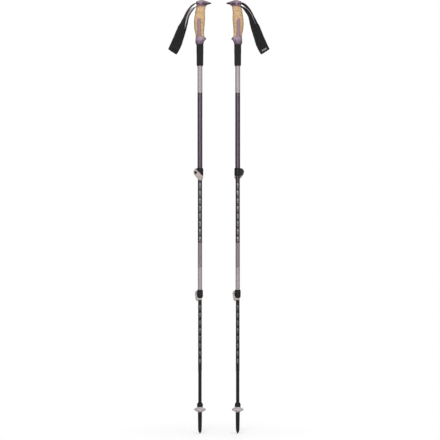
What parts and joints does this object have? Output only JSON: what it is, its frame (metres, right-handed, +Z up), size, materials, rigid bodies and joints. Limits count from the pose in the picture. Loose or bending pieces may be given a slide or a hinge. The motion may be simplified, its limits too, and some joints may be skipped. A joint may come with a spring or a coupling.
{
  "type": "trekking pole pair",
  "caption": "Telescoping trekking poles with cork grips, foam extensions, wrist straps, external lever locks, small baskets and hard tips, standing side by side.",
  "frame": {"origin": "on the ground midway between the two tips", "axes": "+Z up along the shafts, +X from the left pole to the right pole, -Y towards the viewer"},
  "size_m": [0.328, 0.038, 1.4],
  "materials": {
    "left_grip_head": "satin moulded",
    "left_grip_cork": "bare cork",
    "left_grip_collar": "soft-touch",
    "left_foam_sleeve": "fine closed-cell foam",
    "left_shaft_cap": "moulded",
    "left_strap_tail": "woven webbing",
    "left_strap_wedge": "moulded",
    "left_strap_pin": "plain",
    "left_wrist_strap": "woven webbing",
    "left_strap_lining": "brushed lining",
    "left_upper_shaft": "anodised, lower part dark",
    "left_middle_shaft": "anodised with scale marks",
    "left_lower_shaft": "anodised with scale marks",
    "left_middle_plug": "moulded",
    "left_lower_plug": "moulded",
    "left_upper_clamp": "moulded",
    "left_lower_clamp": "moulded",
    "left_upper_cam": "plain",
    "left_lower_cam": "plain",
    "left_upper_lever": "satin",
    "left_lower_lever": "satin",
    "left_upper_bolt": "blackened",
    "left_lower_bolt": "blackened",
    "left_upper_nut": "plain",
    "left_lower_nut": "plain",
    "left_ferrule": "moulded",
    "left_carbide_tip": "sintered hard metal",
    "left_basket": "satin",
    "right_grip_head": "satin moulded",
    "right_grip_cork": "bare cork",
    "right_grip_collar": "soft-touch",
    "right_foam_sleeve": "fine closed-cell foam",
    "right_shaft_cap": "moulded",
    "right_strap_tail": "woven webbing",
    "right_strap_wedge": "moulded",
    "right_strap_pin": "plain",
    "right_wrist_strap": "woven webbing",
    "right_strap_lining": "brushed lining",
    "right_upper_shaft": "anodised, lower part dark",
    "right_middle_shaft": "anodised with scale marks",
    "right_lower_shaft": "anodised with scale marks",
    "right_middle_plug": "moulded",
    "right_lower_plug": "moulded",
    "right_upper_clamp": "moulded",
    "right_lower_clamp": "moulded",
    "right_upper_cam": "plain",
    "right_lower_cam": "plain",
    "right_upper_lever": "satin",
    "right_lower_lever": "satin",
    "right_upper_bolt": "blackened",
    "right_lower_bolt": "blackened",
    "right_upper_nut": "plain",
    "right_lower_nut": "plain",
    "right_ferrule": "moulded",
    "right_carbide_tip": "sintered hard metal",
    "right_basket": "satin"
  },
  "bodies": {
    "left_top": {"left_grip_head": "left_grip_head", "left_grip_cork": "left_grip_cork", "left_grip_collar": "left_grip_collar", "left_foam_sleeve": "left_foam_sleeve", "left_shaft_cap": "left_shaft_cap", "left_strap_tail": "left_strap_tail", "left_strap_wedge": "left_strap_wedge", "left_strap_pin": "left_strap_pin", "left_upper_shaft": "left_upper_shaft", "left_upper_clamp": "left_upper_clamp", "left_upper_cam": "left_upper_cam", "left_upper_nut": "left_upper_nut"},
    "left_strap": {"left_wrist_strap": "left_wrist_strap", "left_strap_lining": "left_strap_lining"},
    "left_upper_lever_body": {"left_upper_lever": "left_upper_lever"},
    "left_upper_bolt_body": {"left_upper_bolt": "left_upper_bolt"},
    "left_middle": {"left_middle_shaft": "left_middle_shaft", "left_middle_plug": "left_middle_plug", "left_lower_clamp": "left_lower_clamp", "left_lower_cam": "left_lower_cam", "left_lower_nut": "left_lower_nut"},
    "left_lower_lever_body": {"left_lower_lever": "left_lower_lever"},
    "left_lower_bolt_body": {"left_lower_bolt": "left_lower_bolt"},
    "left_lower": {"left_lower_shaft": "left_lower_shaft", "left_lower_plug": "left_lower_plug", "left_ferrule": "left_ferrule", "left_carbide_tip": "left_carbide_tip"},
    "left_basket_body": {"left_basket": "left_basket"},
    "right_top": {"right_grip_head": "right_grip_head", "right_grip_cork": "right_grip_cork", "right_grip_collar": "right_grip_collar", "right_foam_sleeve": "right_foam_sleeve", "right_shaft_cap": "right_shaft_cap", "right_strap_tail": "right_strap_tail", "right_strap_wedge": "right_strap_wedge", "right_strap_pin": "right_strap_pin", "right_upper_shaft": "right_upper_shaft", "right_upper_clamp": "right_upper_clamp", "right_upper_cam": "right_upper_cam", "right_upper_nut": "right_upper_nut"},
    "right_strap": {"right_wrist_strap": "right_wrist_strap", "right_strap_lining": "right_strap_lining"},
    "right_upper_lever_body": {"right_upper_lever": "right_upper_lever"},
    "right_upper_bolt_body": {"right_upper_bolt": "right_upper_bolt"},
    "right_middle": {"right_middle_shaft": "right_middle_shaft", "right_middle_plug": "right_middle_plug", "right_lower_clamp": "right_lower_clamp", "right_lower_cam": "right_lower_cam", "right_lower_nut": "right_lower_nut"},
    "right_lower_lever_body": {"right_lower_lever": "right_lower_lever"},
    "right_lower_bolt_body": {"right_lower_bolt": "right_lower_bolt"},
    "right_lower": {"right_lower_shaft": "right_lower_shaft", "right_lower_plug": "right_lower_plug", "right_ferrule": "right_ferrule", "right_carbide_tip": "right_carbide_tip"},
    "right_basket_body": {"right_basket": "right_basket"}
  },
  "joints": [
    {"name": "left_upper_lever_swing", "type": "hinge", "parent": "left_top", "child": "left_upper_lever_body", "pos_m": [-0.0748, 0, 0.8423], "axis": [0, -1, 0], "range_deg": [0, 64]},
    {"name": "left_upper_bolt_turn", "type": "hinge", "parent": "left_top", "child": "left_upper_bolt_body", "pos_m": [-0.0748, 0, 0.8423], "axis": [0, -1, 0], "continuous": true},
    {"name": "left_strap_swing", "type": "hinge", "parent": "left_top", "child": "left_strap", "pos_m": [-0.0745, 0, 1.385], "axis": [0, 1, 0], "range_deg": [-4, 32], "stiffness_Nm_per_rad": 0.2},
    {"name": "left_middle_slide", "type": "slide", "parent": "left_top", "child": "left_middle", "axis": [0, 0, 1], "range_m": [0, 0.35]},
    {"name": "left_lower_lever_swing", "type": "hinge", "parent": "left_middle", "child": "left_lower_lever_body", "pos_m": [-0.061, 0.01242, 0.4502], "axis": [-1, 0, 0], "range_deg": [0, 64]},
    {"name": "left_lower_bolt_turn", "type": "hinge", "parent": "left_middle", "child": "left_lower_bolt_body", "pos_m": [-0.061, 0.01242, 0.4502], "axis": [-1, 0, 0], "continuous": true},
    {"name": "left_lower_slide", "type": "slide", "parent": "left_middle", "child": "left_lower", "axis": [0, 0, 1], "range_m": [0, 0.32]},
    {"name": "left_basket_turn", "type": "hinge", "parent": "left_lower", "child": "left_basket_body", "pos_m": [-0.061, 0, 0.077], "axis": [0, 0, 1], "continuous": true},
    {"name": "right_upper_lever_swing", "type": "hinge", "parent": "right_top", "child": "right_upper_lever_body", "pos_m": [0.0748, 0, 0.8423], "axis": [0, 1, 0], "range_deg": [0, 64]},
    {"name": "right_upper_bolt_turn", "type": "hinge", "parent": "right_top", "child": "right_upper_bolt_body", "pos_m": [0.0748, 0, 0.8423], "axis": [0, 1, 0], "continuous": true},
    {"name": "right_strap_swing", "type": "hinge", "parent": "right_top", "child": "right_strap", "pos_m": [0.0745, 0, 1.385], "axis": [0, -1, 0], "range_deg": [-4, 32], "stiffness_Nm_per_rad": 0.2},
    {"name": "right_middle_slide", "type": "slide", "parent": "right_top", "child": "right_middle", "axis": [0, 0, 1], "range_m": [0, 0.35]},
    {"name": "right_lower_lever_swing", "type": "hinge", "parent": "right_middle", "child": "right_lower_lever_body", "pos_m": [0.061, 0.01242, 0.4502], "axis": [-1, 0, 0], "range_deg": [0, 64]},
    {"name": "right_lower_bolt_turn", "type": "hinge", "parent": "right_middle", "child": "right_lower_bolt_body", "pos_m": [0.061, 0.01242, 0.4502], "axis": [-1, 0, 0], "continuous": true},
    {"name": "right_lower_slide", "type": "slide", "parent": "right_middle", "child": "right_lower", "axis": [0, 0, 1], "range_m": [0, 0.32]},
    {"name": "right_basket_turn", "type": "hinge", "parent": "right_lower", "child": "right_basket_body", "pos_m": [0.061, 0, 0.077], "axis": [0, 0, 1], "continuous": true},
    {"name": "pole_spread", "type": "slide", "parent": "left_top", "child": "right_top", "axis": [1, 0, 0], "range_m": [0, 0.3]}
  ]
}
